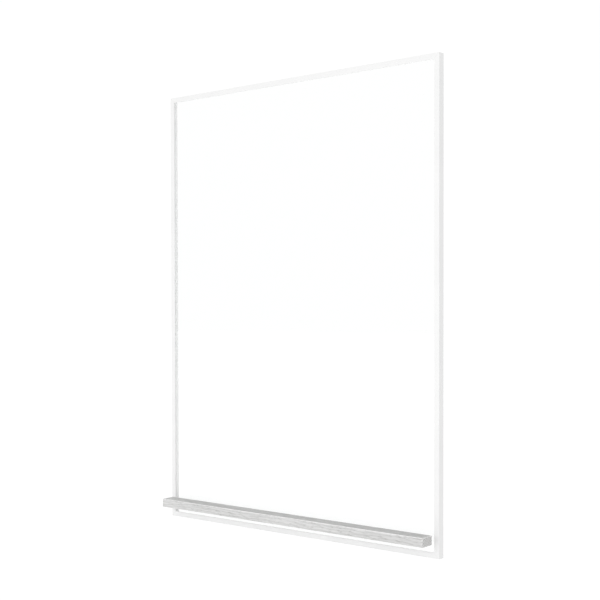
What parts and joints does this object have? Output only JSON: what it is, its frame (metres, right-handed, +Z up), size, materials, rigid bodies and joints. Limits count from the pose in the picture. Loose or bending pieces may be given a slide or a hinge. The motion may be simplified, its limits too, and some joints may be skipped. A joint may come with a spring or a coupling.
{
  "type": "framed glass sneeze guard",
  "caption": "Tall clear screen in a slim white metal frame, with a narrow grey timber ledge held off its lower front.",
  "frame": {"origin": "middle of the bottom rail's underside: mid-width and mid-depth of the frame, at its lowest face", "axes": "+X across the guard to the right as seen from its ledge side, +Y from the ledge side towards the rear, +Z up"},
  "size_m": [0.9, 0.0713, 1.2],
  "materials": {
    "frame_coat": "satin white powder coat",
    "clear_glass": "polished",
    "glazing_seal": "matt",
    "glazing_block": "matt",
    "cast_alloy": "as cast",
    "turned_alloy": "turned",
    "grub_steel": "satin",
    "stainless": "satin",
    "grey_timber": "grey wash, matt lacquer",
    "insert_brass": "satin",
    "soft_washer": "matt",
    "nylon": "natural"
  },
  "bodies": {
    "root": {"top_rail": "frame_coat", "bottom_rail": "frame_coat", "left_stile": "frame_coat", "right_stile": "frame_coat", "corner_key_top_left": "cast_alloy", "corner_key_top_right": "cast_alloy", "corner_key_bottom_left": "cast_alloy", "corner_key_bottom_right": "cast_alloy", "corner_screws": "grub_steel", "glass_pane": "clear_glass", "gasket_top": "glazing_seal", "gasket_bottom": "glazing_seal", "gasket_left": "glazing_seal", "gasket_right": "glazing_seal", "setting_blocks": "glazing_block", "side_blocks": "glazing_block", "top_blocks": "glazing_block", "ledge": "grey_timber", "ledge_inserts": "insert_brass", "ledge_spacers": "turned_alloy", "front_washers": "soft_washer", "glass_bushes": "nylon", "rear_washers": "soft_washer", "cover_washers": "stainless", "ledge_screws": "stainless", "fixing_block_top_left": "cast_alloy", "fixing_block_top_right": "cast_alloy", "fixing_block_bottom_left": "cast_alloy", "fixing_block_bottom_right": "cast_alloy", "block_screws": "grub_steel"}
  },
  "joints": []
}
